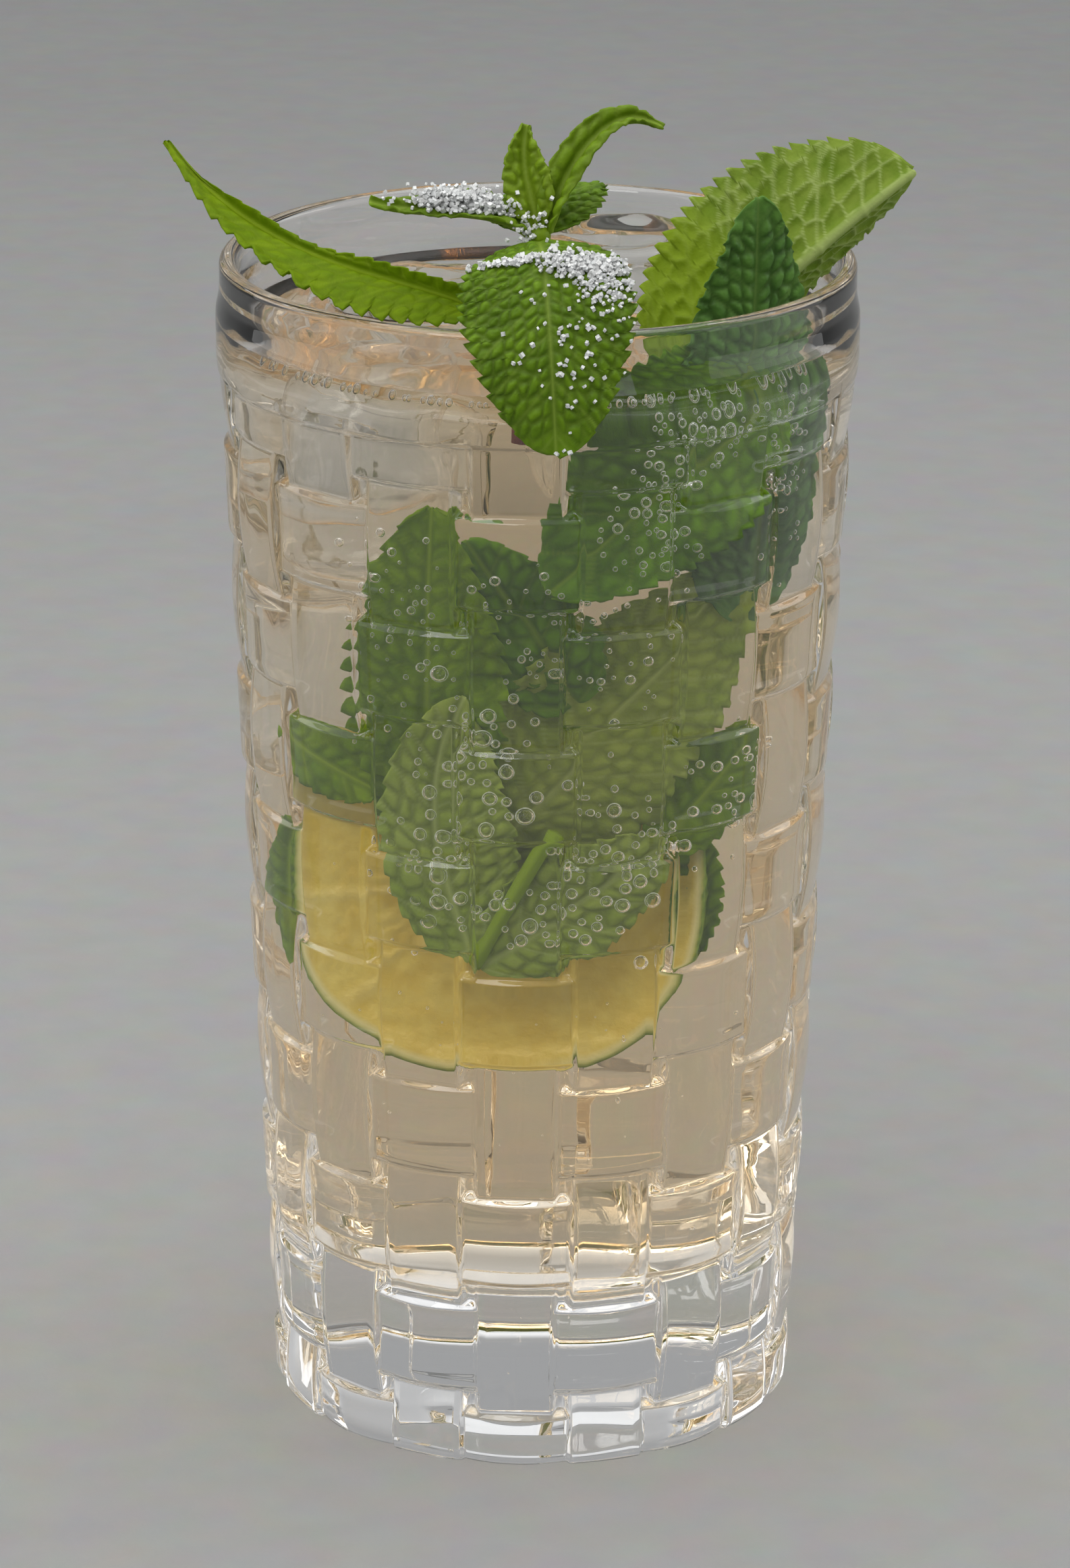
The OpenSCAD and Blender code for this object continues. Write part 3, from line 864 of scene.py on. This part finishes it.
def bubble_piece():
    """Bubbles on the wall and on the leaves, side by side, by patches: the middle's angle and
    depth, how far in, the spread of both, the count and the sizes."""
    rng = np.random.default_rng(77)
    patches = [
        (33, 5, 1.0, (6, 3.5), 120, (0.30, 0.80)),
        (24, 14, 0.8, (5, 4.5), 90, (0.30, 0.80)),
        (54, 12, 0.8, (4, 7), 90, (0.25, 0.60)),
        (-14, 46, 0.6, (6, 4), 60, (0.45, 1.15)),
        (-22, 60, 0.6, (6, 4), 70, (0.45, 1.15)),
        (18, 58, 0.6, (8, 5), 80, (0.35, 1.00)),
        (48, 52, 0.8, (4, 3.5), 40, (0.30, 0.95)),
        (4, 66, 0.6, (7, 2.5), 50, (0.40, 1.10)),
        (8, 30, 1.2, (14, 6), 70, (0.25, 0.70)),
        (-26, 30, 1.0, (8, 8), 70, (0.20, 0.65)),
        (0, 80, 3.0, (30, 22), 60, (0.12, 0.30)),
    ]
    places, sizes = [], []
    for turn, below, inside, (wide, high), count, (least, most) in patches:
        for _ in range(count):
            radius = mix(least, most, rng.random() ** 1.8)
            place = in_drink(turn + rng.normal() * wide, inside + radius,
                             max(below + rng.normal() * high, radius))
            apart = np.linalg.norm(np.array(places or [[0, 0, 0]]) - place, axis=1)
            if (apart > np.array(sizes or [0]) + radius).all():
                places.append(place)
                sizes.append(radius)
    for turn in np.arange(-62, 30, 1.7):
        radius = rng.uniform(0.25, 0.55)
        if rng.random() < 0.75:
            places.append(in_drink(turn + rng.normal() * 0.6, radius + 0.2, 0.1))
            sizes.append(radius)
    balls = []
    for place, radius in zip(places, sizes):
        points, faces = sphere_mesh(2 if radius > 0.4 else 1)
        balls.append((points * radius + place, faces, {}))
    points, faces, _ = join_parts(balls)
    return make_mesh("bubbles", points, faces)


def bubble_look():
    """Gas in the drink, with a painted pale reflection ring round its edge."""
    look = Look("bubble")
    gas = look.add("BsdfGlass", IOR=0.75, Roughness=0.0,
                   Normal=look.bump(look.noise(3000), 0.00001))
    # Painted reflection: white diffuse is mixed in where the surface turns away, standing in for
    # the bright ring a bubble mirrors round its edge.
    facing = look.add("LayerWeight", Blend=0.5).outputs["Facing"]
    edge = look.add("MapRange", Value=facing, From_Min=0.45, From_Max=0.85, To_Max=0.6)
    ring = look.add("MixShader", Fac=edge.outputs["Result"])
    look.put(ring.inputs[1], gas.outputs[0])
    look.put(ring.inputs[2], look.add("BsdfDiffuse", Color=(0.92, 0.94, 0.92, 1)).outputs[0])
    look.lets_light_in(ring.outputs[0], (1, 1, 1))
    return look


# ---- the object ----

def finish_piece(piece, look, slot, *nodes):
    """Give a piece its material, hang it on the root body and hide the CAD nodes it stands for.
    slot is not used.
    """
    piece.data.materials.clear()
    piece.data.materials.append(look.material)
    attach(piece, "root")
    if nodes:
        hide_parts(*nodes)


def ice_centre(node):
    low, high = corners(node)
    return (low[0] + high[0]) / 2, (low[1] + high[1]) / 2, high[2]


ICE_R = (corners("ice_right")[1][0] - corners("ice_right")[0][0]) / 2
ICE_H = corners("ice_right")[1][2] - corners("ice_right")[0][2]
ICE_DISH = 1.6
right_ice = ice_parts(ice_centre("ice_right"), ICE_R, ICE_H, ICE_DISH, 51)
left_ice = ice_parts(ice_centre("ice_left"), ICE_R, ICE_H, ICE_DISH, 52)
sunk_ice = [ice_parts(in_drink(-52, 13, 4), 9, 22, ICE_DISH, 53),
            ice_parts(in_drink(118, 13, 10), 9.5, 24, ICE_DISH, 54),
            ice_parts(in_drink(-95, 13, 34), 9, 22, ICE_DISH, 55)]

glass_look = clear_look("glass", 1.52, 0.003, 0.00004, 90, (0.98, 0.985, 0.98),
                        lambda look: look.attribute("dry"))
ice_look = clear_look("ice", 1.31, 0.02, 0.0004, 160, (0.96, 0.97, 0.97), above_drink)
sunk_ice_look = clear_look("sunk_ice", 1.31, 0.02, 0.0003, 160, (0.98, 0.985, 0.985),
                           above_drink)

mint = leaf_look("mint", colour_of(116, 152, 24), colour_of(90, 124, 14), colour_of(146, 172, 66),
                 0.46, colour_of(60, 90, 0))
mint_bright = leaf_look("mint_bright", colour_of(118, 146, 0), colour_of(92, 124, 0),
                        colour_of(150, 174, 40), 0.5, colour_of(90, 120, 0), 0.4, 0.08)
mint_pale = leaf_look("mint_pale", colour_of(138, 160, 60), colour_of(114, 142, 38),
                      colour_of(184, 200, 124), 0.5, colour_of(80, 100, 0), 0.4, 0.1)
mint_dark = leaf_look("mint_dark", colour_of(100, 144, 60), colour_of(70, 110, 42),
                      colour_of(108, 140, 64), 0.42, colour_of(40, 70, 0), 0.3)
mint_sunk = leaf_look("mint_sunk", colour_of(124, 152, 0), colour_of(100, 132, 0),
                      colour_of(150, 174, 40), 0.5, colour_of(100, 130, 0), 0.45, 0.03)
mint_sunk_dark = leaf_look("mint_sunk_dark", colour_of(104, 146, 10), colour_of(80, 118, 4),
                           colour_of(124, 152, 36), 0.5, colour_of(60, 90, 0), 0.35, 0.03)
mint_sunk_pale = leaf_look("mint_sunk_pale", colour_of(162, 178, 78), colour_of(140, 160, 56),
                           colour_of(190, 204, 120), 0.5, colour_of(60, 80, 0), 0.4, 0.03)

finish_piece(glass_piece(), glass_look, "glass", "glass")
finish_piece(drink_piece([right_ice, left_ice], sunk_ice), drink_look(), "drink", "drink")
finish_piece(make_mesh("ice_right_piece", *right_ice), ice_look, "ice", "ice_right")
finish_piece(make_mesh("ice_left_piece", *left_ice), ice_look, "ice", "ice_left")
finish_piece(make_mesh("ice_sunk", *join_parts([(*p, {}) for p in sunk_ice])[:2]),
             sunk_ice_look, "ice")

left_leaf, right_leaf, dark_leaf = standing_leaves()
finish_piece(make_mesh("mint_sprig_piece", *sprig_parts()), mint, "mint", "mint_sprig")
finish_piece(make_mesh("leaf_left_piece", *left_leaf), mint_bright, "mint", "leaf_left")
finish_piece(make_mesh("leaf_right_piece", *right_leaf), mint_pale, "mint_pale", "leaf_right")
finish_piece(make_mesh("leaf_dark_piece", *dark_leaf), mint_dark, "mint_dark", "leaf_dark")

sunk_dark, sunk_bright, sunk_pale = sunk_leaves()
finish_piece(make_mesh("sunk_mint_dark", *join_parts(sunk_dark)), mint_sunk_dark, "mint_dark")
finish_piece(make_mesh("sunk_mint", *join_parts(sunk_bright)), mint_sunk, "mint")
finish_piece(make_mesh("sunk_mint_pale", *join_parts(sunk_pale)), mint_sunk_pale, "mint_pale")

finish_piece(make_mesh("lime_half", *lime_parts()), lime_look(), "lime")
finish_piece(sugar_piece(), sugar_look(), "sugar")
finish_piece(bubble_piece(), bubble_look(), "drink")


# ---- studio ----

def studio_floor():
    """A pale floor that curves up all round, well away from the glass and just under its foot."""
    flat_r, bowl_r, top, drop = 1700.0, 3600.0, 480.0, 0.05
    profile = [(r, -drop) for r in np.geomspace(40, flat_r, 14)]
    for a in np.radians(np.arange(6, 91, 6)):
        profile.append((flat_r + (bowl_r - flat_r) * math.sin(a), top * (1 - math.cos(a)) - drop))
    rings = profile_rings(profile, np.arange(0, 360, 5.0))
    points = np.concatenate([rings.reshape(-1, 3), [[0, 0, -drop]]])
    around = rings.shape[1]
    faces = grid_faces(*rings.shape[:2], wrap=True)[:, ::-1].tolist()
    faces += [[k, (k + 1) % around, len(points) - 1] for k in range(around)]
    floor = make_mesh("studio_floor", points, faces)
    look = Look("studio_paper")
    grey = look.colours(look.noise(3.0, 3), [(0.3, (0.245, 0.245, 0.24)),
                                             (0.7, (0.263, 0.263, 0.259))])
    speckle = look.add("TexNoise", Scale=900.0).outputs["Color"]
    grain = look.blend(0.12, grey, speckle, "SOFT_LIGHT")
    paper = look.add("BsdfPrincipled", Base_Color=grain, Roughness=0.9, Specular_IOR_Level=0.2,
                     Normal=look.bump(look.noise(1500), 0.0001, 0.4))
    look.surface(paper.outputs[0])
    floor.data.materials.append(look.material)


def softbox(name, place, target, size, power, tint=(1, 1, 1)):
    """A rectangular lamp at a place in metres that shines on its target, unseen by the camera."""
    light = bpy.data.lights.new(name, "AREA")
    light.shape = "RECTANGLE"
    light.size, light.size_y = size
    light.energy = power
    light.color = tint
    lamp = bpy.data.objects.new(name, light)
    bpy.context.scene.collection.objects.link(lamp)
    aim = unit(np.asarray(target, float) - np.asarray(place, float))
    side = unit(np.cross(aim, [0.001, 0.002, 1]))
    up = np.cross(side, aim)
    turn = Matrix([side, up, -aim]).transposed()
    lamp.matrix_world = Matrix.Translation(place) @ turn.to_4x4()
    lamp.visible_camera = False


def studio_light():
    """Soft light from all round, brightest overhead, and softboxes round the glass."""
    world = bpy.data.worlds.new("studio")
    world.use_nodes = True
    nodes, links = world.node_tree.nodes, world.node_tree.links
    way = nodes.new("ShaderNodeTexCoord").outputs["Generated"]
    parts = nodes.new("ShaderNodeSeparateXYZ")
    links.new(way, parts.inputs[0])
    lift = nodes.new("ShaderNodeMapRange")
    lift.interpolation_type = "SMOOTHSTEP"
    links.new(parts.outputs["Z"], lift.inputs["Value"])
    for key, value in {"From Min": 0.45, "From Max": 0.8, "To Min": 0.35, "To Max": 1.0}.items():
        lift.inputs[key].default_value = value
    sky = nodes["Background"]
    sky.inputs["Color"].default_value = (0.97, 0.985, 1.0, 1)
    links.new(lift.outputs["Result"], sky.inputs["Strength"])
    bpy.context.scene.world = world
    glass_middle, over_glass = (0, 0, 0.08), (0, 0, 0.3)
    softbox("overhead", (0, 0.02, 0.85), glass_middle, size=(0.9, 0.6), power=3.6,
            tint=(1, 0.985, 0.96))
    softbox("front_fill", (-0.6, -1.3, 1.3), glass_middle, size=(1.0, 0.8), power=10,
            tint=(1, 0.99, 0.97))
    softbox("left_card", (-0.95, 0.0, 0.46), over_glass, size=(1.1, 0.9), power=2.6)
    softbox("right_card", (0.95, 0.0, 0.46), over_glass, size=(1.1, 0.9), power=2.4)
    for name, side in ("left_floor", -1), ("right_floor", 1):
        softbox(name, (side * 0.75, 0.25, 0.35), (side * 0.72, 0.25, 0), size=(0.5, 0.5),
                power=1.5)


CAMERA_PLACE = (0, -0.7319, 0.3321)
CAMERA_TILT = 71.01
CAMERA_ROLL = 0.35
CAMERA_LENS = 138.75


def studio_camera():
    """The camera, in front of the glass and looking down on it. A tilt of 90 looks level."""
    camera = bpy.data.cameras.new("camera")
    camera.sensor_width = 36
    camera.lens = CAMERA_LENS
    camera.clip_start = 0.05
    camera.clip_end = 50
    holder = bpy.data.objects.new("camera", camera)
    bpy.context.scene.collection.objects.link(holder)
    tilt = Matrix.Rotation(math.radians(CAMERA_TILT), 4, "X")
    roll = Matrix.Rotation(math.radians(CAMERA_ROLL), 4, "Z")
    holder.matrix_world = Matrix.Translation(CAMERA_PLACE) @ tilt @ roll
    bpy.context.scene.camera = holder


studio_floor()
studio_light()
studio_camera()

# Light is mirrored many times inside the pressed glass, and goes dark where it is cut short.
GLASS_BOUNCES = 32

scene = bpy.context.scene
scene.view_settings.view_transform = "Standard"
scene.cycles.max_bounces = GLASS_BOUNCES
scene.cycles.transmission_bounces = GLASS_BOUNCES
scene.cycles.glossy_bounces = GLASS_BOUNCES
scene.cycles.transparent_max_bounces = 48
scene.cycles.diffuse_bounces = 2
